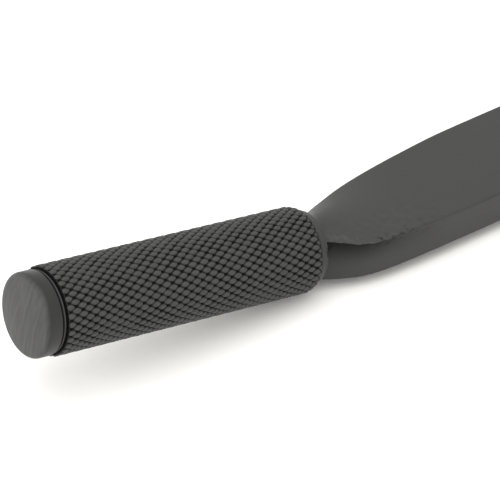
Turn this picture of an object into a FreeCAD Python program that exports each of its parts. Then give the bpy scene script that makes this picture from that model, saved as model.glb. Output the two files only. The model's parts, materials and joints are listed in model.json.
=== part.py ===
"""Clay shaper: a forged flat blade in a knurled round grip, lying on a bench.

Every piece is drawn in one of two straight working frames that meet at the bend
point, where the axis of the blade crosses the axis of the grip:
  blade frame  x runs to the blade's tip, y across it, z out of its top face
  grip frame   z runs out along the grip to its end cap, x out of its upper side
and is then laid down in the row frame: +X towards the tip, +Z up, the floor at
z = 0, and the origin at the middle of the bounding box's base.
"""
import FreeCAD
import Part
import math
import os

V = FreeCAD.Vector

# ---- driving dimensions, millimetres and degrees ----
CRANK = 12.5                    # bend between the blade and the grip

BLADE_LENGTH = 105.0            # bend point to tip
BLADE_WIDTH = 15.0
BLADE_THICK = 5.4
BLADE_EDGE = 0.6                # rounding of the bar's long edges
BAR_START = 28.0                # where the flare ends and the even bar begins
BEVEL_LENGTH = 34.0             # ground top face behind the tip
TIP_THICK = 1.4
TIP_CORNER = 5.0
# flare from neck to bar: distance, half width, half height of side, crown of face
FLARE = (
    (0.9, 4.2, 2.9, 4.4),
    (4.0, 5.5, 2.85, 3.9),
    (8.5, 6.45, 2.8, 3.3),
    (14.0, 6.95, 2.75, 2.9),
    (21.0, 7.35, 2.7, 2.74),
)

NECK_DIA = 10.2
NECK_ROOT = 1.1                 # the round neck starts this far up the grip's axis
COLLAR_START = 1.8
COLLAR_THICK = 0.8
COLLAR_DIA = 10.9

GRIP_DIA = 12.0                 # over the crests of the knurl
GRIP_LENGTH = 40.4
NECK_END_CHAMFER = 0.45
CAP_END_CHAMFER = 0.05
GRIP_BORE = 7.1
POCKET_DIA = 9.4                # counterbore at the cap end, for washer and nut
POCKET_DEPTH = 12.0

TANG_DIA = 7.0
TANG_STOP = 0.5                 # the tang stops this short of the pocket's floor
STUD_DIA = 5.0                  # M5, drawn plain
STUD_END_GAP = 0.7              # stud's end to the sleeve's end face
STUD_CHAMFER = 0.5

KEY_WIDTH = 2.0
KEY_HEIGHT = 2.0
KEY_LENGTH = 8.0
KEY_IN_TANG = 1.2
KEY_SETBACK = 0.6               # key's end to the sleeve's front face
KEYWAY_SPARE = 0.05

WASHER_DIA = 9.0
WASHER_THICK = 1.0
WASHER_HOLE = 5.3
NUT_DIA = 9.0
NUT_THICK = 4.2
NUT_HOLE = 5.06
NUT_SLOT_WIDTH = 1.6
NUT_SLOT_DEPTH = 1.5
NUT_CHAMFER = 0.3

SEAL_GAP = 0.85                 # sleeve's end face to the cap
SEAL_CORD = 0.84
SEAL_MID_DIA = 10.2

CAP_DIA = 11.35
CAP_THICK = 2.3
CAP_ROUND = 0.7                 # rounding of the cap's front edge
CAP_DOME = 0.3
SPIGOT_DIA = 9.2
SPIGOT_LENGTH = 7.2
CAP_HOLE = 5.1
CAP_HOLE_DEPTH = 6.3

# ---- places along the grip's axis, from the bend point ----
sleeve_start = COLLAR_START + COLLAR_THICK
sleeve_end = sleeve_start + GRIP_LENGTH
pocket_floor = sleeve_end - POCKET_DEPTH
key_start = sleeve_start + KEY_SETBACK
key_end = key_start + KEY_LENGTH
tang_end = pocket_floor - TANG_STOP
washer_end = pocket_floor + WASHER_THICK
nut_end = washer_end + NUT_THICK
stud_end = sleeve_end - STUD_END_GAP
cap_start = sleeve_end + SEAL_GAP
cap_end = cap_start + CAP_THICK

# ---- how the tool lies: on the sleeve's front corner and the blade's tip ----
crank = math.radians(CRANK)
corner_along = sleeve_start + NECK_END_CHAMFER
corner_x = -corner_along * math.cos(crank) - GRIP_DIA / 2 * math.sin(crank)
corner_z = corner_along * math.sin(crank) - GRIP_DIA / 2 * math.cos(crank)
blade_slope = math.atan2(-BLADE_THICK / 2 - corner_z, BLADE_LENGTH - corner_x)
grip_rise = crank + blade_slope
bend_height = BLADE_LENGTH * math.sin(blade_slope) + BLADE_THICK / 2 * math.cos(blade_slope)

tip_reach = (BLADE_LENGTH * math.cos(blade_slope)
             - (BLADE_THICK / 2 - TIP_THICK) * math.sin(blade_slope))
cap_reach = ((cap_end - CAP_ROUND) * math.cos(grip_rise)
             + (CAP_DIA / 2 - CAP_ROUND) * math.sin(grip_rise) + CAP_ROUND)
bend_x = (cap_reach - tip_reach) / 2

bend_point = V(bend_x, 0, bend_height)
Y_AXIS = V(0, 1, 0)
blade_frame = FreeCAD.Placement(bend_point,
                                FreeCAD.Rotation(Y_AXIS, math.degrees(blade_slope)))
grip_frame = FreeCAD.Placement(bend_point,
                               FreeCAD.Rotation(Y_AXIS, math.degrees(grip_rise) - 90))


def rod(dia, start, end, chamfer_end=0.0):
    """Round bar on the grip's axis, with an optional chamfer at its far end."""
    radius = dia / 2
    points = [V(0, 0, start), V(radius, 0, start), V(radius, 0, end - chamfer_end)]
    if chamfer_end:
        points.append(V(radius - chamfer_end, 0, end))
    points.append(V(0, 0, end))
    return revolve(Part.makePolygon(points + points[:1]).Edges)


def revolve(edges):
    """Solid of revolution about the grip's axis, from a closed half section."""
    face = Part.Face(Part.Wire(edges))
    return face.revolve(V(0, 0, 0), V(0, 0, 1), 360)


def arc(first, middle, last):
    return Part.Arc(first, middle, last).toShape()


def laid(shape, frame):
    """Copy of a shape, moved from its working frame to the row frame."""
    copy = shape.copy()
    copy.Placement = frame.multiply(copy.Placement)
    return copy


# ---- blade, neck, tang and stud: one forging ----
def flare_section(x, half_width, half_side, crown):
    """Closed eight-edge section of the flare, square to the blade."""
    w, s, r = half_width, half_side, BLADE_EDGE
    inset = r * (1 - math.sqrt(0.5))
    corners = ((-1, 1), (1, 1), (1, -1), (-1, -1))
    edges = []
    for i, (sy, sz) in enumerate(corners):
        side = V(x, sy * w, sz * (s - r))
        face = V(x, sy * (w - r), sz * s)
        bend = V(x, sy * (w - inset), sz * (s - inset))
        first, last = (side, face) if i % 2 == 0 else (face, side)
        edges.append(arc(first, bend, last))
        next_y, next_z = corners[(i + 1) % 4]
        if i % 2 == 0:
            edges.append(arc(face, V(x, 0, sz * crown), V(x, next_y * (w - r), sz * s)))
        else:
            edges.append(Part.LineSegment(side, V(x, sy * w, next_z * (s - r))).toShape())
    return Part.Wire(edges)


def neck_section():
    """The neck's circle in the same eight edges, laid back into the blade frame."""
    radius = NECK_DIA / 2
    splits = (150, 135, 45, 30, -30, -45, -135, -150, -210)

    def on_circle(degrees):
        angle = math.radians(degrees)
        return V(radius * math.sin(angle), radius * math.cos(angle), NECK_ROOT)

    edges = [arc(on_circle(a), on_circle((a + b) / 2), on_circle(b))
             for a, b in zip(splits, splits[1:])]
    wire = Part.Wire(edges)
    wire.Placement = blade_frame.inverse().multiply(grip_frame)
    return wire


def even_bar():
    """The bar in the blade frame, with its top face ground down to the tip."""
    half = BLADE_THICK / 2
    bar = Part.makeBox(BLADE_LENGTH - BAR_START, BLADE_WIDTH, BLADE_THICK,
                       V(BAR_START, -BLADE_WIDTH / 2, -half))
    long_edges = [e for e in bar.Edges if e.BoundBox.XLength > 1]
    bar = bar.makeFillet(BLADE_EDGE, long_edges)
    bevel_start = BLADE_LENGTH - BEVEL_LENGTH
    over = 1.0
    slope = (BLADE_THICK - TIP_THICK) / BEVEL_LENGTH
    wedge = Part.makePolygon([
        V(bevel_start, 0, half),
        V(BLADE_LENGTH + over, 0, half - slope * (BEVEL_LENGTH + over)),
        V(BLADE_LENGTH + over, 0, half + over),
        V(bevel_start, 0, half + over),
        V(bevel_start, 0, half)])
    wedge.translate(V(0, -BLADE_WIDTH, 0))
    bar = bar.cut(Part.Face(wedge).extrude(V(0, 2 * BLADE_WIDTH, 0)))
    return round_corners(bar)


def round_corners(bar):
    """Round the tip's two corners in plan."""
    r, half = TIP_CORNER, BLADE_WIDTH / 2
    for side in (-1, 1):
        centre = V(BLADE_LENGTH - r, side * (half - r), -BLADE_THICK)
        block = Part.makeBox(r + 1, r + 1, 2 * BLADE_THICK,
                             centre if side > 0 else centre - V(0, r + 1, 0))
        disc = Part.makeCylinder(r, 2 * BLADE_THICK, centre)
        bar = bar.cut(block.cut(disc))
    return bar


def make_blade():
    sections = [neck_section()] + [flare_section(*row) for row in FLARE]
    half = BLADE_THICK / 2
    sections.append(flare_section(BAR_START, BLADE_WIDTH / 2, half, half + 0.001))
    flare = Part.makeLoft(sections, True, False)
    flat = laid(flare, blade_frame).fuse(laid(even_bar(), blade_frame))
    neck = rod(NECK_DIA, NECK_ROOT, COLLAR_START)
    tang = rod(TANG_DIA, COLLAR_START, tang_end, STUD_CHAMFER)
    stud = rod(STUD_DIA, tang_end, stud_end, STUD_CHAMFER)
    shank = neck.fuse([tang, stud]).cut(key_block(KEY_LENGTH, key_start))
    return flat.fuse(laid(shank, grip_frame))


# ---- the grip's pieces, each in the grip frame ----
def key_block(length, start, spare=0.0):
    """The key's own block on the tang's upper side."""
    seat = TANG_DIA / 2 - KEY_IN_TANG
    return Part.makeBox(KEY_HEIGHT + spare, KEY_WIDTH + 2 * spare, length,
                        V(seat, -KEY_WIDTH / 2 - spare, start))


def make_front_collar():
    ring = rod(COLLAR_DIA, COLLAR_START, sleeve_start)
    rims = [e for e in ring.Edges if isinstance(e.Curve, Part.Circle)]
    ring = ring.makeFillet(COLLAR_THICK / 4, rims)
    return ring.cut(rod(GRIP_BORE, COLLAR_START - 1, sleeve_start + 1))


def make_grip_sleeve():
    radius = GRIP_DIA / 2
    outline = [V(0, 0, sleeve_start),
               V(radius - NECK_END_CHAMFER, 0, sleeve_start),
               V(radius, 0, sleeve_start + NECK_END_CHAMFER),
               V(radius, 0, sleeve_end - CAP_END_CHAMFER),
               V(radius - CAP_END_CHAMFER, 0, sleeve_end),
               V(0, 0, sleeve_end)]
    body = revolve(Part.makePolygon(outline + outline[:1]).Edges)
    body = body.cut(rod(GRIP_BORE, sleeve_start - 1, sleeve_end + 1))
    body = body.cut(rod(POCKET_DIA, pocket_floor, sleeve_end + 1))
    keyway_length = key_end + KEY_SETBACK - sleeve_start + 1
    return body.cut(key_block(keyway_length, sleeve_start - 1, KEYWAY_SPARE))


def make_drive_key():
    return key_block(KEY_LENGTH, key_start)


def make_clamp_washer():
    disc = rod(WASHER_DIA, pocket_floor, washer_end)
    return disc.cut(rod(WASHER_HOLE, pocket_floor - 1, washer_end + 1))


def make_ring_nut():
    nut = rod(NUT_DIA, washer_end, nut_end, NUT_CHAMFER)
    nut = nut.cut(rod(NUT_HOLE, washer_end - 1, nut_end + 1))
    slot = Part.makeBox(2 * NUT_DIA, NUT_SLOT_WIDTH, NUT_SLOT_DEPTH + 1,
                        V(-NUT_DIA, -NUT_SLOT_WIDTH / 2, nut_end - NUT_SLOT_DEPTH))
    return nut.cut(slot)


def make_cap_seal():
    middle = sleeve_end + SEAL_GAP / 2
    return Part.makeTorus(SEAL_MID_DIA / 2, SEAL_CORD / 2, V(0, 0, middle), V(0, 0, 1))


def make_end_cap():
    rim, r = CAP_DIA / 2, CAP_ROUND
    shoulder = cap_end - r
    flat_edge = V(rim - r, 0, cap_end)
    bulge = r * math.sqrt(0.5)
    outline = [
        Part.LineSegment(V(0, 0, cap_start), V(rim, 0, cap_start)).toShape(),
        Part.LineSegment(V(rim, 0, cap_start), V(rim, 0, shoulder)).toShape(),
        arc(V(rim, 0, shoulder), V(rim - r + bulge, 0, shoulder + bulge), flat_edge),
        Part.LineSegment(flat_edge, V(0, 0, cap_end + CAP_DOME)).toShape(),
        Part.LineSegment(V(0, 0, cap_end + CAP_DOME), V(0, 0, cap_start)).toShape(),
    ]
    spigot_end = cap_start - SPIGOT_LENGTH
    cap = revolve(outline).fuse(rod(SPIGOT_DIA, spigot_end, cap_start))
    return cap.cut(rod(CAP_HOLE, spigot_end - 1, spigot_end + CAP_HOLE_DEPTH))


GRIP_PIECES = {
    "front_collar": make_front_collar,
    "grip_sleeve": make_grip_sleeve,
    "drive_key": make_drive_key,
    "clamp_washer": make_clamp_washer,
    "ring_nut": make_ring_nut,
    "cap_seal": make_cap_seal,
    "end_cap": make_end_cap,
}


def main():
    os.makedirs("parts", exist_ok=True)
    pieces = {"blade": make_blade()}
    for name, make in GRIP_PIECES.items():
        pieces[name] = laid(make(), grip_frame)
    for name, shape in pieces.items():
        solid = shape.removeSplitter()
        solid.exportStep(f"parts/{name}.step")
        box = solid.optimalBoundingBox()
        print(f"{name}: valid {solid.isValid()}, solids {len(solid.Solids)}, "
              f"volume {solid.Volume:.1f}, x {box.XMin:.2f}..{box.XMax:.2f}, "
              f"y {box.YMin:.2f}..{box.YMax:.2f}, z {box.ZMin:.2f}..{box.ZMax:.2f}")
    outward = grip_frame.Rotation.multVec(V(0, 0, 1))
    print("bend point", bend_point, "grip axis", outward)
    print("grip middle", grip_frame.multVec(V(0, 0, (sleeve_start + sleeve_end) / 2)))
    print("blade slope", math.degrees(blade_slope), "grip rise", math.degrees(grip_rise))


if __name__ == "__main__":
    main()
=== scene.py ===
"""The looks of a clay shaper: a black forged blade, a knurled round grip and a turned end cap.

Laid out as an add-on: one operator makes each piece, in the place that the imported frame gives.
Pieces are drawn upright round the world's axes, then laid in the grip's or the blade's own line.
"""
import json
import math

import bmesh
import bpy
from bpy.props import FloatProperty, FloatVectorProperty, IntProperty, PointerProperty
from mathutils import Matrix, Vector


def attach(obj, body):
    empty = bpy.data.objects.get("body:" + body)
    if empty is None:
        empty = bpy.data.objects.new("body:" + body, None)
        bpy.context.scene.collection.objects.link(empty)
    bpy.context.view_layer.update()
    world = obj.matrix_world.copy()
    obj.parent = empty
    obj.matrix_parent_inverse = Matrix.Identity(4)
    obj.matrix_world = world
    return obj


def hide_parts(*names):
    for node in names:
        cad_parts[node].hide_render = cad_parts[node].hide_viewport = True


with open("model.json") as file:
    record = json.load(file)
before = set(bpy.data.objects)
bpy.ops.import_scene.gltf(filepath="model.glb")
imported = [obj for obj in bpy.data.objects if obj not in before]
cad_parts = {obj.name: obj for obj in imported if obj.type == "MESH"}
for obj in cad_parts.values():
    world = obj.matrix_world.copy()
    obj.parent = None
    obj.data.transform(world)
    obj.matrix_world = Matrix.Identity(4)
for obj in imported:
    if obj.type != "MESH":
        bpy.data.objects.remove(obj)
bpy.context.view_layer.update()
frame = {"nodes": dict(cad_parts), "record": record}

bl_info = {
    "name": "Clay shaper",
    "version": (1, 0, 0),
    "blender": (4, 5, 0),
    "location": "View3D > Sidebar > Clay shaper",
    "description": "Models a forged clay shaper with a knurled grip round its packed frame",
    "category": "Object",
}

MM = 0.001

# ---- the two lines that everything is laid along, from the frame ----
MOUNTS = {mount["name"]: mount for mount in frame["record"]["mounts"]}
ACROSS = Vector((0, 1, 0))


def lying(origin, up):
    """Matrix that lays a piece drawn round Z at the world's origin along up, from origin."""
    up = up.normalized()
    along = ACROSS.cross(up)
    turn = Matrix((along, ACROSS, up)).transposed().to_4x4()
    return Matrix.Translation(origin) @ turn


def reach(node, axis, origin):
    """How far a CAD node reaches along an axis, from the origin given: lowest and highest."""
    places = [(v.co - origin).dot(axis) for v in frame["nodes"][node].data.vertices]
    return min(places), max(places)


def girth(node, axis, origin):
    """Radii of a CAD node about an axis: smallest and largest."""
    radii = [(v.co - origin).cross(axis).length for v in frame["nodes"][node].data.vertices]
    return min(radii), max(radii)


GRIP_AXIS = Vector(MOUNTS["grip"]["axis"]).normalized()
BLADE_UP = -Vector(MOUNTS["blade_back"]["axis"]).normalized()
BLADE_AXIS = ACROSS.cross(BLADE_UP)
BAR_HALF = 2.7 * MM


def bend_point():
    """Where the grip's axis crosses the middle plane of the blade."""
    start = Vector(MOUNTS["grip"]["pos_m"])
    middle = Vector(MOUNTS["blade_back"]["pos_m"]) + BLADE_UP * BAR_HALF
    travel = (middle - start).dot(BLADE_UP) / GRIP_AXIS.dot(BLADE_UP)
    return start + GRIP_AXIS * travel


BEND = bend_point()
GRIP_LAY = lying(BEND, GRIP_AXIS)
BLADE_LAY = lying(BEND, BLADE_UP)
CRANK = math.acos(min(1.0, -GRIP_AXIS.dot(BLADE_AXIS)))
SLEEVE_START, SLEEVE_END = reach("grip_sleeve", GRIP_AXIS, BEND)
SLEEVE_BORE, SLEEVE_CREST = girth("grip_sleeve", GRIP_AXIS, BEND)
CAP_INNER, CAP_OUTER = reach("end_cap", GRIP_AXIS, BEND)
CAP_RADIUS = girth("end_cap", GRIP_AXIS, BEND)[1]
COLLAR_START, COLLAR_END = reach("front_collar", GRIP_AXIS, BEND)
COLLAR_RADIUS = girth("front_collar", GRIP_AXIS, BEND)[1]
SEAL_START, SEAL_END = reach("cap_seal", GRIP_AXIS, BEND)
SEAL_RADIUS = girth("cap_seal", GRIP_AXIS, BEND)[1]
TIP_REACH = reach("blade", BLADE_AXIS, BEND)[1]


# ---- sizes of the turned pieces that the frame doesn't give ----
NECK_END_CHAMFER = 0.45 * MM
CAP_END_CHAMFER = 0.05 * MM
POCKET_RADIUS = 4.7 * MM
POCKET_DEPTH = 12.0 * MM
SEAL_GAP = 0.85 * MM
CAP_ROUND = 0.7 * MM
CAP_DOME = 0.3 * MM
REAR_ROUND = 0.1 * MM
SPIGOT_RADIUS = 4.6 * MM
SPIGOT_BREAK = 0.3 * MM
CAP_HOLE_RADIUS = 2.55 * MM
CAP_HOLE_DEPTH = 6.3 * MM
TANG_RADIUS = 3.5 * MM
TANG_ROOT = 1.5 * MM            # inside the neck
TANG_STOP = 0.5 * MM
STUD_RADIUS = 2.5 * MM
STUD_END_GAP = 0.7 * MM
STUD_CHAMFER = 0.5 * MM
KEYWAY_SPARE = 0.05 * MM


# height of a diamond's lines, from its middle line to the last before the groove
DIAMOND_PROFILE = (0.97, 1.0, 0.62)


# ---- sizes and colours a user would change ----
def length(name, description, default):
    return FloatProperty(name=name, description=description, default=default,
                         min=0.0, precision=5, subtype="DISTANCE", unit="LENGTH")


def colour(name, description, default):
    return FloatVectorProperty(name=name, description=description, default=default,
                               size=3, subtype="COLOR", min=0.0, max=1.0)


class KnurlSizes(bpy.types.PropertyGroup):
    """The diamond pattern on the grip."""
    around: IntProperty(name="Diamonds round", default=32, min=8,
                        description="Diamonds in one ring round the grip")
    pitch_along: length("Pitch along", "From one diamond to the next along the grip", 1.86 * MM)
    depth: length("Depth", "From the pits to the crests", 0.52 * MM)


class CoatColours(bpy.types.PropertyGroup):
    """The black coat and the bare metal."""
    coat: colour("Coat", "Satin black of the blade, the collar and the cap", (0.029, 0.029, 0.028))
    # painted shade: the dead black put where shade falls, in the knurl's pits and the forging's
    # hollow
    painted_shade: colour("Crust", "Dead black in the knurl's pits and the forging's hollow",
                  (0.006, 0.006, 0.006))
    steel: colour("Steel", "Oiled steel of the hidden hardware", (0.42, 0.41, 0.40))
    rubber: colour("Rubber", "Black of the sealing ring", (0.004, 0.004, 0.004))


class StudioSizes(bpy.types.PropertyGroup):
    """The camera: its lens, angles, distance and aim."""
    lens: FloatProperty(name="Lens", default=244.8, min=1.0, description="Focal length, mm")
    azimuth: FloatProperty(name="Azimuth", default=math.radians(33.913), subtype="ANGLE",
                           description="Camera's turn from looking along +Y")
    elevation: FloatProperty(name="Elevation", default=math.radians(43.051), subtype="ANGLE",
                             description="Camera's height angle over the floor")
    distance: length("Distance", "From the camera to the point it aims at", 461.9 * MM)
    aim_left: length("Aim left", "From the bend to the picture's middle, to the left", 8.41 * MM)
    aim_up: length("Aim up", "From the floor under the bend to the picture's middle", 3.14 * MM)


# ---- shader maths ----
class Value:
    """A number that varies over a surface: its arithmetic adds Math nodes."""

    def __init__(self, paint, socket):
        self.paint = paint
        self.socket = socket

    def _math(self, operation, *others):
        return self.paint.add("ShaderNodeMath", {"operation": operation}, [self, *others])

    def __add__(self, other):
        return self._math("ADD", other)

    __radd__ = __add__

    def __mul__(self, other):
        return self._math("MULTIPLY", other)

    __rmul__ = __mul__

    def __sub__(self, other):
        return self._math("SUBTRACT", other)

    def __rsub__(self, other):
        return self.paint.add("ShaderNodeMath", {"operation": "SUBTRACT"}, [other, self])

    def above(self, edge, softness):
        """0 below the edge, 1 above it, with a smooth step between."""
        settings = {"interpolation_type": "SMOOTHSTEP"}
        return self.paint.add("ShaderNodeMapRange", settings,
                              [self, edge - softness, edge + softness, 0.0, 1.0])


class Paint:
    """One material and its nodes."""

    def __init__(self, name):
        self.material = bpy.data.materials.new(name)
        self.material.use_nodes = True
        self.tree = self.material.node_tree
        self.tree.nodes.clear()
        self.shader = self.tree.nodes.new("ShaderNodeBsdfPrincipled")
        self.output = self.tree.nodes.new("ShaderNodeOutputMaterial")
        self.tree.links.new(self.shader.outputs[0], self.output.inputs["Surface"])

    def add(self, kind, settings=None, inputs=(), output=0):
        """A node of any kind, its settings first, then values or links for its sockets."""
        node = self.tree.nodes.new(kind)
        for name, setting in (settings or {}).items():
            setattr(node, name, setting)
        named = inputs.items() if isinstance(inputs, dict) else enumerate(inputs)
        for key, given in named:
            self.feed(node.inputs[key], given)
        return Value(self, node.outputs[output])

    def feed(self, socket, given):
        if isinstance(given, Value):
            self.tree.links.new(given.socket, socket)
        else:
            socket.default_value = given

    def set(self, **sockets):
        """Values or links for the shader, by socket name with _ for a space."""
        for name, given in sockets.items():
            self.feed(self.shader.inputs[name.replace("_", " ")], given)
        return self.material

    def painted_shade(self, share, tone):
        """Lay a dead black painted shade with no shine over the coat, by a share from 0 to 1."""
        painted_shade = self.tree.nodes.new("ShaderNodeBsdfDiffuse")
        painted_shade.inputs["Color"].default_value = [*tone, 1]
        mix = self.tree.nodes.new("ShaderNodeMixShader")
        self.feed(mix.inputs[0], share)
        self.tree.links.new(self.shader.outputs[0], mix.inputs[1])
        self.tree.links.new(painted_shade.outputs[0], mix.inputs[2])
        self.tree.links.new(mix.outputs[0], self.output.inputs["Surface"])
        return self.material

    def place(self):
        """Object coordinates, in metres in the row frame."""
        return self.add("ShaderNodeTexCoord", output="Object")

    def vector(self, operation, *given, output=0):
        return self.add("ShaderNodeVectorMath", {"operation": operation}, given, output)

    def up_grip(self, place):
        """How far a place lies up the grip's axis from the bend."""
        return self.vector("DOT_PRODUCT", self.vector("SUBTRACT", place, BEND), GRIP_AXIS,
                           output="Value")

    def from_grip(self, place):
        """How far a place lies from the grip's axis."""
        square = self.vector("CROSS_PRODUCT", self.vector("SUBTRACT", place, BEND), GRIP_AXIS)
        return self.vector("LENGTH", square, output="Value")

    def noise(self, place, per_metre, detail=2.0, roughness=0.5):
        return self.add("ShaderNodeTexNoise", {}, {
            "Vector": place, "Scale": per_metre, "Detail": detail, "Roughness": roughness})

    def blend(self, share, first, second):
        """Colour that goes from the first to the second."""
        factor, colour_a, colour_b, colour_result = 0, 6, 7, 2
        return self.add("ShaderNodeMix", {"data_type": "RGBA"},
                        {factor: share, colour_a: first, colour_b: second}, colour_result)

    def bump(self, height, distance, strength=1.0, under=None):
        sockets = {"Height": height, "Distance": distance, "Strength": strength}
        if under:
            sockets["Normal"] = under
        return self.add("ShaderNodeBump", {}, sockets)


# ---- modelling steps shared by the pieces ----
def clear_selection():
    if bpy.context.object and bpy.context.object.mode != "OBJECT":
        bpy.ops.object.mode_set(mode="OBJECT")
    bpy.ops.object.select_all(action="DESELECT")


def pick(piece, chosen):
    """In edit mode, select the vertices whose place passes the test."""
    bpy.ops.mesh.select_all(action="DESELECT")
    mesh = bmesh.from_edit_mesh(piece.data)
    for vertex in mesh.verts:
        if chosen(vertex.co):
            vertex.select = True
    mesh.select_flush(True)
    bmesh.update_edit_mesh(piece.data)


def near(value, target, margin=1e-6):
    return abs(value - target) < margin


def finish_modifier(piece, kind, **settings):
    """Add a modifier, set it and apply it."""
    modifier = piece.modifiers.new(kind.title(), kind)
    for name, setting in settings.items():
        setattr(modifier, name, setting)
    bpy.context.view_layer.objects.active = piece
    bpy.ops.object.modifier_apply(modifier=modifier.name)


def close_up(piece, gap=1e-7):
    """Merge doubled vertices and turn every face outwards."""
    bpy.context.view_layer.objects.active = piece
    bpy.ops.object.mode_set(mode="EDIT")
    bpy.ops.mesh.select_all(action="SELECT")
    bpy.ops.mesh.remove_doubles(threshold=gap)
    bpy.ops.mesh.normals_make_consistent(inside=False)
    bpy.ops.object.mode_set(mode="OBJECT")


def rounding(centre_radius, centre_height, size, start, stop, steps=8):
    """Points of an arc in a turned outline, between two angles in degrees from +X."""
    angles = [math.radians(start + (stop - start) * i / steps) for i in range(steps + 1)]
    return [(centre_radius + size * math.cos(a), centre_height + size * math.sin(a))
            for a in angles]


def turned(name, outline, steps, ring=False):
    """A piece turned round Z from (radius, height) points, closed on itself if it is a ring."""
    clear_selection()
    bpy.ops.mesh.primitive_plane_add(size=MM)
    piece = bpy.context.object
    piece.name = piece.data.name = name
    bpy.ops.object.mode_set(mode="EDIT")
    bpy.ops.mesh.merge(type="CENTER")
    bpy.ops.mesh.select_all(action="SELECT")
    here = Vector((outline[0][0], 0, outline[0][1]))
    bpy.ops.transform.translate(value=here)
    for radius, height in outline[1:]:
        there = Vector((radius, 0, height))
        bpy.ops.mesh.extrude_vertices_move(TRANSFORM_OT_translate={"value": there - here})
        here = there
    if ring:
        first = Vector((outline[0][0], 0, outline[0][1]))
        pick(piece, lambda co: (co - first).length < 1e-7 or (co - here).length < 1e-7)
        bpy.ops.mesh.edge_face_add()
    bpy.ops.mesh.select_all(action="SELECT")
    bpy.ops.mesh.spin(steps=steps, angle=math.tau, center=(0, 0, 0), axis=(0, 0, 1))
    bpy.ops.object.mode_set(mode="OBJECT")
    close_up(piece)
    return piece


def settle(piece, lay, body, slot, material, *nodes, sharp=30.0):
    """Lay a finished piece in its line, shade it, and tie it to its body and CAD nodes; the slot
    is not used.
    """
    clear_selection()
    piece.select_set(True)
    bpy.context.view_layer.objects.active = piece
    piece.matrix_world = lay
    bpy.ops.object.transform_apply(location=True, rotation=True, scale=True)
    bpy.ops.object.shade_smooth_by_angle(angle=math.radians(sharp))
    piece.data.materials.clear()
    piece.data.materials.append(material)
    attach(piece, body)
    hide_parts(*nodes)
    return piece


# ---- finishes ----
SATIN_GLOSS = 0.34              # roughness where clouds and peel are least
COAT_SHINE = 0.3                # the coat reflects less than bare plastic
KNURL_SHINE = 0.25
PEEL_DEPTH = 0.02 * MM
CREST_DEPTH = 0.21 * MM         # the knurl's painted shade starts this far under its crests
CREASE_HEIGHT = 3.05 * MM       # near crease of the blade's flare, over the middle plane
CREASE_FALL = 0.025             # and how much lower it gets along the blade


def shade(tone, factor):
    """A colour made darker or paler, with its alpha."""
    return [part * factor for part in tone] + [1]


def satin_black(paint, colours):
    """Black coat sprayed over steel: a fine orange peel, and faint cloudy gloss."""
    place = paint.place()
    clouds = paint.noise(place, 90.0, detail=4.0)
    peel = paint.noise(place, 1500.0, detail=3.0)
    tone = paint.blend(clouds, shade(colours.coat, 0.85), shade(colours.coat, 1.15))
    return paint.set(Base_Color=tone, Roughness=clouds * 0.1 + peel * 0.06 + SATIN_GLOSS,
                     Specular_IOR_Level=COAT_SHINE, Normal=paint.bump(peel, PEEL_DEPTH))


def forged_black(colours):
    """The coat on the blade, with dull, dead black painted shade in the hollow under the near
    crease.
    """
    paint = Paint("forged black")
    satin_black(paint, colours)
    place = paint.place()
    from_bend = paint.vector("SUBTRACT", place, BEND)
    along = paint.vector("DOT_PRODUCT", from_bend, BLADE_AXIS, output="Value")
    height = paint.vector("DOT_PRODUCT", from_bend, BLADE_UP, output="Value")
    to_near = paint.vector("DOT_PRODUCT", from_bend, -ACROSS, output="Value")
    jags = paint.noise(place, 900.0, detail=3.0) * 0.9 * MM - 0.45 * MM
    crease = height + jags + along * CREASE_FALL
    # painted shade in the hollow: below the jagged near crease, on the near side, fading out along
    # the blade
    under = (1 - crease.above(CREASE_HEIGHT, 0.10 * MM)) * height.above(0.7 * MM, 2.3 * MM)
    span = (along + jags).above(-0.75 * MM, 0.15 * MM) * (1 - along.above(10 * MM, 9 * MM))
    side = to_near.above(1.9 * MM, 0.4 * MM)
    return paint.painted_shade(under * span * side * 0.8, colours.painted_shade)


def knurl_black(colours):
    """The same coat on the knurl, with dead black painted shade in the pits; the crests keep the
    coat.
    """
    paint = Paint("knurl black")
    place = paint.place()
    speckle = paint.noise(place, 1100.0, detail=3.0)
    shade_edge_noise = paint.noise(place, 420.0, detail=2.0)
    # painted shade in the pits: dead black below the crests, its edge jittered by noise
    radius = paint.from_grip(place) + shade_edge_noise * 0.20 * MM - 0.10 * MM
    crest = radius.above(SLEEVE_CREST - CREST_DEPTH, 0.11 * MM)
    tone = paint.blend(speckle, shade(colours.coat, 0.9), shade(colours.coat, 1.9))
    paint.set(Base_Color=tone, Roughness=0.48 + speckle * 0.08,
              Specular_IOR_Level=KNURL_SHINE, Normal=paint.bump(speckle, 0.03 * MM))
    return paint.painted_shade((1 - crest) * 0.9, colours.painted_shade)


def cap_black(colours):
    """The coat on the cap, with painted light on its face and painted shade on its side, and faint
    tool marks on the face.
    """
    paint = Paint("cap black")
    place = paint.place()
    face = paint.up_grip(place).above(CAP_OUTER - 0.62 * MM, 0.34 * MM)
    peel = paint.noise(place, 1500.0, detail=3.0)
    marks = paint.noise(paint.vector("MULTIPLY", place, Vector((1, 8, 1))), 240.0, detail=4.0)
    # painted light and shade: the face painted lighter, streaked by the tool marks, the side
    # painted darker
    lit_face_with_marks = paint.blend(marks.above(0.5, 0.22), shade(colours.coat, 0.95),
                         shade(colours.coat, 1.75))
    tone = paint.blend(face, shade(colours.coat, 0.55), lit_face_with_marks)
    return paint.set(Base_Color=tone, Roughness=0.40 + marks * 0.06 + peel * 0.05,
                     Specular_IOR_Level=COAT_SHINE, Normal=paint.bump(peel, PEEL_DEPTH))


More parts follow.
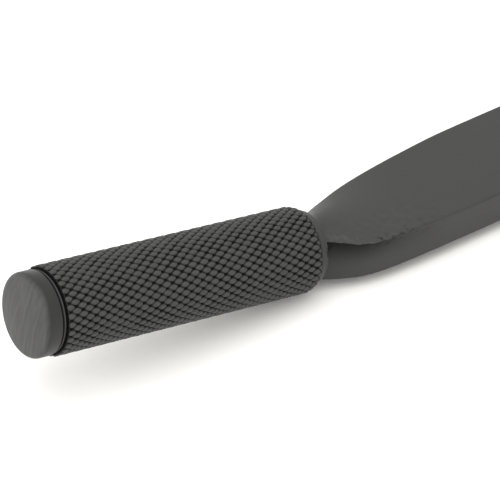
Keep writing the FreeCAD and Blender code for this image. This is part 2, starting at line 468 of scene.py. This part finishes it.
def machined_steel(colours):
    """Oiled steel with fine tool marks."""
    paint = Paint("machined steel")
    marks = paint.noise(paint.place(), 4000.0, detail=2.0)
    tone = paint.blend(marks, shade(colours.steel, 0.8), shade(colours.steel, 1))
    return paint.set(Base_Color=tone, Metallic=1.0, Roughness=marks * 0.15 + 0.25,
                     Normal=paint.bump(marks, 0.01 * MM))


def seal_rubber(colours):
    """Soft black rubber, with a thin pale painted highlight along its crown."""
    paint = Paint("seal rubber")
    place = paint.place()
    bloom = paint.noise(place, 900.0, detail=3.0)
    # painted highlight: a thin pale line round the crown
    crown = paint.from_grip(place).above(SEAL_RADIUS - 0.018 * MM, 0.012 * MM)
    tone = paint.blend(crown, shade(colours.rubber, 1), shade(colours.rubber, 12))
    return paint.set(Base_Color=tone, Roughness=bloom * 0.1 + 0.6, Specular_IOR_Level=0.1)


def pale_floor():
    """Matt white paper."""
    paint = Paint("white paper")
    fibre = paint.noise(paint.place(), 400.0, detail=2.0)
    tone = paint.blend(fibre, [0.90, 0.893, 0.86, 1], [0.92, 0.913, 0.88, 1])
    return paint.set(Base_Color=tone, Roughness=0.9)


# ---- the blade's sections, from the neck to the tip ----
NECK_RADIUS = 5.1
NECK_SPREAD = 1.0166            # control points lie this much outside the round neck
BLADE_LENGTH = TIP_REACH / MM
BAR_WIDTH = 15.0
HALF_THICK = BAR_HALF / MM
BEVEL_START = BLADE_LENGTH - 34.0
TIP_THICK = 1.4
TIP_CORNER = 5.0
NEAR_BULGE, FAR_BULGE = 1.2, 2.5        # how square the top is towards each side
HOLLOW_DEPTH, HOLLOW_REACH = 0.9, 16.0
HOLLOW_PROFILE = (0, 0.3, 0.85, 0.8, 0)  # share of the hollow by row, from the floor up
# where the near crease is marked, in mm from the middle plane and from the bend
MARKS_INSET, MARKS_LOW, MARKS_HIGH = 2.6, 1.4, 3.7
MARKS_START, MARKS_END = -0.6, 19
MARKS_SPAN = 0.6 * MM
MARKS_DEPTH = 0.32 * MM
COLUMNS = range(-3, 4)
ROWS = range(-2, 3)


class Section:
    """One section of the blade, in millimetres, as a grid of seven columns by five rows.

    along runs from the bend to the tip, near and far are the half widths to the -Y and +Y
    sides, with half heights near_side and far_side there and crown in the middle. slant is
    how much further out the near side's top edge is, edge the span of the edges' rounding,
    floor how far the section reaches down, and lean tips its top towards the tip. The near
    side is hollow by the neck.
    """

    def __init__(self, along, near, far, near_side, far_side, crown, slant=0.0, edge=0.6,
                 floor=None, lean=0.0):
        self.near, self.far, self.slant, self.edge = near, far, slant, edge
        self.hollow = HOLLOW_DEPTH * max(0.0, 1 - max(along, 0.0) / HOLLOW_REACH)
        self.near_side, self.far_side, self.crown = near_side, far_side, crown
        self.floor = floor
        self.lean = math.radians(lean)
        rise = max(0.0, -along) * math.tan(CRANK)
        self.middle = Vector((along, 0, rise)) * MM

    def place(self, column, row):
        """Where a point of the grid lies, in the blade's own line."""
        across, height = self.outline(column, row)
        lean = Vector((math.sin(self.lean), 0, math.cos(self.lean)))
        return self.middle + ACROSS * (across * MM) + lean * (height * MM)

    def outline(self, column, row):
        to_near = column < 0
        width, side = (self.near, self.near_side) if to_near else (self.far, self.far_side)
        across = (0, width / 2, width - self.edge, width)[abs(column)]
        bulge = NEAR_BULGE if to_near else FAR_BULGE
        top = side + (self.crown - side) * (1 - (across / width) ** bulge)
        bottom = -top if self.floor is None else -self.floor
        if to_near:
            rim = (across / width) ** 3
            across += self.slant * rim * row / 2
            across -= self.hollow * HOLLOW_PROFILE[row + 2] * rim
        edge = min(self.edge, (top - bottom) / 4)
        height = (bottom, bottom + edge, (top + bottom) / 2, top - edge, top)[row + 2]
        return math.copysign(across, column), height


class NeckSection(Section):
    """A round section of the neck, square to the grip's axis."""

    def __init__(self, up_grip, radius=NECK_RADIUS):
        super().__init__(-up_grip * math.cos(CRANK), *[radius] * 5, lean=math.degrees(CRANK))
        self.radius = radius * NECK_SPREAD

    def outline(self, column, row):
        depth = max(abs(column) / 3, abs(row) / 2)
        if depth == 0:
            return 0.0, 0.0
        if near(abs(column) / 3, depth):
            turn = 36 * abs(row) / (2 * depth)
        else:
            turn = 90 - 54 * abs(column) / (3 * depth)
        turn = math.radians(turn)
        across, height = math.cos(turn), math.sin(turn)
        return (math.copysign(across * depth * self.radius, column),
                math.copysign(height * depth * self.radius, row))


def ground_section(along):
    """A section of the ground tip: the top face falls, the corners are rounded off."""
    share = (along - BEVEL_START) / (BLADE_LENGTH - BEVEL_START)
    top = HALF_THICK + (TIP_THICK - 2 * HALF_THICK) * share
    past = max(0.0, along - (BLADE_LENGTH - TIP_CORNER))
    width = BAR_WIDTH / 2 - TIP_CORNER + math.sqrt(max(0.0, TIP_CORNER ** 2 - past ** 2))
    return Section(along, width, width, top, top, top, floor=HALF_THICK)


SECTIONS = [NeckSection(up_grip) for up_grip in (1.8, 1.72, 1.25, 1.1)]
SECTIONS += [
    Section(-1.03, 3.5, 3.6, 2.85, 2.6, 4.85, slant=-0.1, edge=0.4, lean=12.5),
    Section(-0.9, 3.45, 3.6, 2.9, 2.6, 4.75, slant=-0.1, edge=0.35, lean=12),
    Section(0.0, 3.85, 3.5, 3.05, 2.55, 4.55, slant=-0.1, edge=0.35, lean=10),
    Section(1.0, 4.4, 3.55, 3.1, 2.55, 4.35, slant=-0.1, edge=0.35, lean=8),
    Section(2.5, 5.45, 4.05, 3.1, 2.55, 4.12, slant=0.1, edge=0.35, lean=4),
    Section(4.0, 6.3, 4.4, 3.05, 2.58, 3.9, slant=0.25, edge=0.35, lean=2),
    Section(6.0, 6.85, 5.0, 3.0, 2.6, 3.6, slant=0.25, edge=0.4),
    Section(8.5, 7.1, 5.65, 2.92, 2.6, 3.3, slant=0.12, edge=0.5),
    Section(12.0, 7.2, 6.2, 2.82, 2.65, 3.0, edge=0.5),
    Section(16.0, 7.35, 6.67, 2.75, 2.68, 2.85, edge=0.5),
    Section(20.0, 7.45, 7.02, 2.7, 2.7, 2.75), Section(24.0, 7.5, 7.38, 2.7, 2.7, 2.7)]
SECTIONS += [Section(along, 7.5, 7.5, 2.7, 2.7, 2.7)
             for along in (28.0, 40.0, 56.0, BEVEL_START - 0.6)]
SECTIONS += [ground_section(BLADE_LENGTH - short) for short in (
    34.0, 33.4, 24.0, 12.0, 6.5, 5.0, 3.6, 2.2, 1.2, 0.5, 0.12, 0.0)]


# ---- one operator a piece ----
class CLAY_OT_studio(bpy.types.Operator):
    """Lay the white floor and set the soft light and the camera"""
    bl_idname = "clay_shaper.studio"
    bl_label = "Studio"

    def execute(self, context):
        sizes = context.scene.clay_studio
        self.lay_floor()
        self.light()
        self.set_camera(context, sizes)
        return {"FINISHED"}

    def lay_floor(self):
        clear_selection()
        bpy.ops.mesh.primitive_plane_add(size=6.0, location=(0, 0, 0))
        floor = bpy.context.object
        floor.name = "floor"
        floor.data.materials.append(pale_floor())

    def light(self):
        world = bpy.data.worlds.new("studio air")
        world.use_nodes = True
        background = world.node_tree.nodes["Background"]
        background.inputs["Color"].default_value = (1.0, 1.0, 1.0, 1.0)
        background.inputs["Strength"].default_value = 1.18
        bpy.context.scene.world = world
        bpy.context.scene.view_settings.view_transform = "Standard"
        for name, place, size, power in (
                ("overhead softbox", (-0.12, -0.16, 0.93), 0.9, 4.8),
                ("left softbox", (-0.8, 0.05, 0.45), 0.5, 2.0)):
            bpy.ops.object.light_add(type="AREA", location=place)
            lamp = bpy.context.object
            lamp.name = name
            lamp.data.size = size
            lamp.data.energy = power
            lamp.rotation_euler = Vector(place).to_track_quat("Z", "Y").to_euler()

    def set_camera(self, context, sizes):
        turn, rise = sizes.azimuth, sizes.elevation
        right = Vector((math.cos(turn), -math.sin(turn), 0))
        ahead = Vector((math.cos(rise) * math.sin(turn), math.cos(rise) * math.cos(turn),
                        -math.sin(rise)))
        up = right.cross(ahead)
        under_bend = Vector((BEND.x, 0, 0))
        aim = under_bend - right * sizes.aim_left + up * sizes.aim_up
        bpy.ops.object.camera_add()
        camera = bpy.context.object
        turned_view = Matrix((right, up, -ahead)).transposed().to_4x4()
        camera.matrix_world = Matrix.Translation(aim - ahead * sizes.distance) @ turned_view
        camera.data.lens = sizes.lens
        camera.data.sensor_width = 36.0
        camera.data.clip_start = 0.01
        context.scene.camera = camera


class CLAY_OT_knurled_sleeve(bpy.types.Operator):
    """Make the knurled sleeve of the grip"""
    bl_idname = "clay_shaper.knurled_sleeve"
    bl_label = "Knurled sleeve"

    def execute(self, context):
        sizes = context.scene.clay_knurl
        shell = self.one_diamond(sizes)
        self.spread(shell, sizes)
        self.wrap(shell, sizes)
        self.break_edges(shell)
        self.line(shell)
        close_up(shell)
        settle(shell, GRIP_LAY, "tool", "knurled_black", knurl_black(context.scene.clay_coat),
               "grip_sleeve", sharp=50.0)
        return {"FINISHED"}

    def one_diamond(self, sizes):
        """One raised diamond: flat on top, saddles at its sides, pits at its points."""
        clear_selection()
        cuts = 2 * len(DIAMOND_PROFILE)
        bpy.ops.mesh.primitive_grid_add(x_subdivisions=cuts, y_subdivisions=cuts, size=1)
        piece = bpy.context.object
        piece.name = piece.data.name = "knurled_grip"
        bpy.ops.object.mode_set(mode="EDIT")
        for line, share in enumerate(DIAMOND_PROFILE):
            rise = sizes.depth / 2 * share
            for axis in (0, 1):
                pick(piece, lambda co: near(abs(co[axis]), line / cuts))
                bpy.ops.transform.translate(value=(0, 0, rise))
        bpy.ops.mesh.select_all(action="SELECT")
        bpy.ops.transform.rotate(value=math.pi / 4, orient_axis="Z", center_override=(0, 0, 0))
        across = self.pitch_around(sizes)
        spans = (across / math.sqrt(2), sizes.pitch_along / math.sqrt(2), 1)
        bpy.ops.transform.resize(value=spans, center_override=(0, 0, 0))
        step = Vector((across / 2, sizes.pitch_along / 2, 0))
        bpy.ops.mesh.duplicate_move(TRANSFORM_OT_translate={"value": step})
        bpy.ops.object.mode_set(mode="OBJECT")
        return piece

    def pitch_around(self, sizes):
        return math.tau * (SLEEVE_CREST - sizes.depth) / sizes.around

    def spread(self, piece, sizes):
        """Repeat the diamonds over the whole sheet, and trim it to the sleeve's length."""
        across, along = self.pitch_around(sizes), sizes.pitch_along
        rows = math.ceil((SLEEVE_END - SLEEVE_START) / along) + 2
        for count, step in ((sizes.around, (across, 0, 0)), (rows, (0, along, 0))):
            finish_modifier(piece, "ARRAY", count=count, use_relative_offset=False,
                            use_constant_offset=True, constant_offset_displace=step,
                            use_merge_vertices=True, merge_threshold=1e-6)
        bpy.ops.object.mode_set(mode="EDIT")
        bpy.ops.mesh.select_all(action="SELECT")
        bpy.ops.transform.translate(value=(0, SLEEVE_START - along, 0))
        for end, normal in ((SLEEVE_START, -1), (SLEEVE_END, 1)):
            bpy.ops.mesh.select_all(action="SELECT")
            bpy.ops.mesh.bisect(plane_co=(0, end, 0), plane_no=(0, normal, 0),
                                clear_outer=True)
        bpy.ops.object.mode_set(mode="OBJECT")

    def wrap(self, piece, sizes):
        """Stand the sheet up and bend it round into a tube."""
        piece.rotation_euler = (math.pi / 2, 0, 0)
        clear_selection()
        piece.select_set(True)
        bpy.ops.object.transform_apply(location=False, rotation=True, scale=False)
        overlap = (sizes.around + 0.5) / sizes.around
        finish_modifier(piece, "SIMPLE_DEFORM", deform_method="BEND", deform_axis="Z",
                        angle=math.tau * overlap)
        bpy.ops.object.mode_set(mode="EDIT")
        bpy.ops.mesh.select_all(action="SELECT")
        bpy.ops.transform.translate(value=(0, sizes.depth - SLEEVE_CREST, 0))
        bpy.ops.mesh.remove_doubles(threshold=2e-6)
        bpy.ops.object.mode_set(mode="OBJECT")

    def break_edges(self, piece):
        """Press the ends of the knurl in to the sleeve's two chamfers."""
        low, high, crest = SLEEVE_START, SLEEVE_END, SLEEVE_CREST
        margin = 1 * MM
        outline = [(0, low - margin), (crest - NECK_END_CHAMFER - margin, low - margin),
                   (crest + 0.01 * MM, low + NECK_END_CHAMFER),
                   (crest + 0.01 * MM, high - CAP_END_CHAMFER),
                   (crest - CAP_END_CHAMFER - margin, high + margin), (0, high + margin)]
        gauge = turned("gauge", outline, 192)
        clear_selection()
        piece.select_set(True)
        finish_modifier(piece, "SHRINKWRAP", target=gauge, wrap_mode="INSIDE")
        bpy.data.objects.remove(gauge)
        bpy.ops.object.mode_set(mode="EDIT")
        for end in (low, high):
            self.pick_rims(piece, end)
            bpy.ops.transform.resize(value=(1, 1, 0), center_override=(0, 0, end))
        bpy.ops.object.mode_set(mode="OBJECT")

    def line(self, piece):
        """Add the end faces, the bore and the pocket, and bridge them to the knurl."""
        low, high = SLEEVE_START, SLEEVE_END
        floor = high - POCKET_DEPTH
        rim = SLEEVE_CREST - 0.8 * MM
        wall = turned("wall", [(rim, low), (SLEEVE_BORE, low), (SLEEVE_BORE, floor),
                               (POCKET_RADIUS, floor), (POCKET_RADIUS, high), (rim, high)], 128)
        clear_selection()
        wall.select_set(True)
        piece.select_set(True)
        bpy.context.view_layer.objects.active = piece
        bpy.ops.object.join()
        bpy.ops.object.mode_set(mode="EDIT")
        for end in (low, high):
            self.pick_rims(piece, end)
            bpy.ops.mesh.bridge_edge_loops()
        bpy.ops.object.mode_set(mode="OBJECT")

    def pick_rims(self, piece, end):
        """Select the two open rims at one end."""
        bpy.ops.mesh.select_all(action="DESELECT")
        bpy.ops.mesh.select_mode(type="EDGE")
        mesh = bmesh.from_edit_mesh(piece.data)
        for edge in mesh.edges:
            at_end = all(near(v.co.z, end, 0.3 * MM) for v in edge.verts)
            edge.select = edge.is_boundary and at_end
        bmesh.update_edit_mesh(piece.data)


class CLAY_OT_end_cap(bpy.types.Operator):
    """Make the turned end cap with its spigot and blind hole"""
    bl_idname = "clay_shaper.end_cap"
    bl_label = "End cap"

    def execute(self, context):
        r, rim, top = CAP_ROUND, CAP_RADIUS, CAP_OUTER - CAP_DOME
        back = SLEEVE_END + SEAL_GAP
        hole = CAP_INNER + CAP_HOLE_DEPTH
        outline = [(0, CAP_OUTER), (0.4 * rim, CAP_OUTER - 0.2 * CAP_DOME),
                   (0.65 * rim, top + 0.4 * CAP_DOME)]
        outline += rounding(rim - r, top - r, r, 84, 0, 10)
        outline += rounding(rim - REAR_ROUND, back + REAR_ROUND, REAR_ROUND, 0, -90, 3)
        outline += [(SPIGOT_RADIUS, back), (SPIGOT_RADIUS, CAP_INNER + SPIGOT_BREAK),
                    (SPIGOT_RADIUS - SPIGOT_BREAK, CAP_INNER), (CAP_HOLE_RADIUS, CAP_INNER),
                    (CAP_HOLE_RADIUS, hole), (0, hole)]
        cap = turned("turned_end_cap", outline, 128)
        settle(cap, GRIP_LAY, "cap", "cap_black",
               cap_black(context.scene.clay_coat), "end_cap")
        return {"FINISHED"}


class CLAY_OT_rings(bpy.types.Operator):
    """Make the front collar and the sealing ring"""
    bl_idname = "clay_shaper.rings"
    bl_label = "Collar and seal"

    def execute(self, context):
        colours = context.scene.clay_coat
        low, high, rim = COLLAR_START, COLLAR_END, COLLAR_RADIUS
        edge = 0.25 * MM
        outline = [(SLEEVE_BORE, low)]
        outline += rounding(rim - edge, low + edge, edge, -90, 0, 5)
        outline += rounding(rim - edge, high - edge, edge, 0, 90, 5)
        outline += [(SLEEVE_BORE, high)]
        collar = turned("front_collar_ring", outline, 128, ring=True)
        settle(collar, GRIP_LAY, "tool", "turned_black",
               satin_black(Paint("collar black"), colours), "front_collar")
        cord = (SEAL_END - SEAL_START) / 2
        middle = (SEAL_END + SEAL_START) / 2
        circle = rounding(SEAL_RADIUS - cord, middle, cord, 0, 345, 23)
        seal = turned("cap_seal_ring", circle, 128, ring=True)
        settle(seal, GRIP_LAY, "seal", "seal_rubber", seal_rubber(colours), "cap_seal",
               sharp=60.0)
        return {"FINISHED"}


class CLAY_OT_forged_blade(bpy.types.Operator):
    """Make the blade: the round neck, its flare, the even bar and the ground tip"""
    bl_idname = "clay_shaper.forged_blade"
    bl_label = "Forged blade"

    def execute(self, context):
        blade = self.start()
        self.forge(blade)
        self.soften(blade)
        settle(blade, BLADE_LAY, "tool", "forged_black",
               forged_black(context.scene.clay_coat), "blade", sharp=40.0)
        return {"FINISHED"}

    def start(self):
        """The neck's end face: a grid of six faces across by four high."""
        clear_selection()
        bpy.ops.mesh.primitive_grid_add(x_subdivisions=4, y_subdivisions=6, size=2,
                                        rotation=(0, -math.pi / 2, 0))
        blade = bpy.context.object
        blade.name = blade.data.name = "forged_blade"
        bpy.ops.object.transform_apply(location=False, rotation=True, scale=False)
        return blade

    def forge(self, blade):
        """Draw the bar out from the neck, one section after another."""
        bpy.ops.object.mode_set(mode="EDIT")
        bpy.ops.mesh.select_all(action="SELECT")
        places = {(column, row): Vector((0, column / 3, row / 2))
                  for column in COLUMNS for row in ROWS}
        for number, section in enumerate(SECTIONS):
            if number:
                move = Vector((0.05 * MM, 0, 0))
                bpy.ops.mesh.extrude_region_move(TRANSFORM_OT_translate={"value": move})
                places = {spot: place + move for spot, place in places.items()}
            places = self.shape(blade, places, section)
            ends = list(places.values())
            pick(blade, lambda co: any((co - end).length < 1e-6 for end in ends))
        bpy.ops.object.mode_set(mode="OBJECT")
        close_up(blade)

    def shape(self, blade, places, section):
        """Draw the end face to a section, and return where its points now are."""
        moved = {}
        for (column, row), here in places.items():
            there = section.place(column, row)
            pick(blade, lambda co: (co - here).length < 1e-6)
            bpy.ops.transform.translate(value=there - here)
            moved[column, row] = there
        return moved

    def soften(self, blade):
        finish_modifier(blade, "SUBSURF", levels=3, render_levels=3)
        self.hammer(blade)

    def hammer(self, blade):
        """Leave the forging's rough marks along the near crease of the flare."""
        marked = blade.vertex_groups.new(name="hammered")
        for vertex in blade.data.vertices:
            along, across, height = vertex.co / MM
            if across < -MARKS_INSET and MARKS_LOW < height < MARKS_HIGH:
                fade = min((along - MARKS_START) / 0.8, (MARKS_END - along) / 9, 1)
                marked.add([vertex.index], max(0.0, fade), "REPLACE")
        marks = bpy.data.textures.new("hammer marks", "CLOUDS")
        marks.noise_scale = MARKS_SPAN
        finish_modifier(blade, "DISPLACE", texture=marks, texture_coords="LOCAL",
                        strength=MARKS_DEPTH, mid_level=0.5, vertex_group="hammered")
        blade.vertex_groups.clear()
        bpy.data.textures.remove(marks)


class CLAY_OT_tang(bpy.types.Operator):
    """Make the hidden tang with its keyway, and the stud at its end"""
    bl_idname = "clay_shaper.tang"
    bl_label = "Tang and stud"

    def execute(self, context):
        tang_end = SLEEVE_END - POCKET_DEPTH - TANG_STOP
        stud_end = SLEEVE_END - STUD_END_GAP
        outline = [(0, TANG_ROOT), (TANG_RADIUS, TANG_ROOT), (TANG_RADIUS, tang_end),
                   (STUD_RADIUS, tang_end), (STUD_RADIUS, stud_end - STUD_CHAMFER),
                   (STUD_RADIUS - STUD_CHAMFER, stud_end), (0, stud_end)]
        tang = turned("tang_and_stud", outline, 96)
        self.cut_keyway(tang)
        settle(tang, GRIP_LAY, "tool", "forged_black",
               satin_black(Paint("tang black"), context.scene.clay_coat), "blade")
        return {"FINISHED"}

    def cut_keyway(self, tang):
        """Cut the slot that the key sits in, a little larger than the key."""
        upright = GRIP_LAY.inverted()
        corners = [upright @ v.co for v in frame["nodes"]["drive_key"].data.vertices]
        low = [min(corner[axis] for corner in corners) for axis in range(3)]
        high = [max(corner[axis] for corner in corners) for axis in range(3)]
        clear_selection()
        bpy.ops.mesh.primitive_cube_add(size=1, location=[(a + b) / 2 for a, b in zip(low, high)])
        cutter = bpy.context.object
        cutter.scale = [b - a + 2 * KEYWAY_SPARE for a, b in zip(low, high)]
        bpy.ops.object.transform_apply(location=True, rotation=True, scale=True)
        finish_modifier(tang, "BOOLEAN", operation="DIFFERENCE", object=cutter)
        bpy.data.objects.remove(cutter)


class CLAY_OT_hardware(bpy.types.Operator):
    """Finish the key, washer and nut inside the grip"""
    bl_idname = "clay_shaper.hardware"
    bl_label = "Hidden hardware"

    def execute(self, context):
        steel = machined_steel(context.scene.clay_coat)
        for name in ("drive_key", "clamp_washer", "ring_nut"):
            node = frame["nodes"][name]
            node.data.materials.clear()
            node.data.materials.append(steel)
        return {"FINISHED"}


class CLAY_PT_panel(bpy.types.Panel):
    """Lists the sizes, the colours and the pieces"""
    bl_idname = "CLAY_PT_panel"
    bl_label = "Clay shaper"
    bl_space_type = "VIEW_3D"
    bl_region_type = "UI"
    bl_category = "Clay shaper"

    def draw(self, context):
        for operator in PIECES:
            self.layout.operator(operator.bl_idname)
        for group in ("clay_knurl", "clay_coat", "clay_studio"):
            owner = getattr(context.scene, group)
            for name in owner.bl_rna.properties.keys():
                if name not in ("rna_type", "name"):
                    self.layout.prop(owner, name)


PIECES = (CLAY_OT_studio, CLAY_OT_knurled_sleeve, CLAY_OT_end_cap, CLAY_OT_rings,
          CLAY_OT_forged_blade, CLAY_OT_tang, CLAY_OT_hardware)
GROUPS = {"clay_knurl": KnurlSizes, "clay_coat": CoatColours, "clay_studio": StudioSizes}


def register():
    for cls in (*GROUPS.values(), *PIECES, CLAY_PT_panel):
        bpy.utils.register_class(cls)
    for name, group in GROUPS.items():
        setattr(bpy.types.Scene, name, PointerProperty(type=group))


def unregister():
    for name in GROUPS:
        delattr(bpy.types.Scene, name)
    for cls in reversed((*GROUPS.values(), *PIECES, CLAY_PT_panel)):
        bpy.utils.unregister_class(cls)


def main():
    register()
    for operator in PIECES:
        group, name = operator.bl_idname.split(".")
        getattr(getattr(bpy.ops, group), name)()


if __name__ == "__main__":
    main()
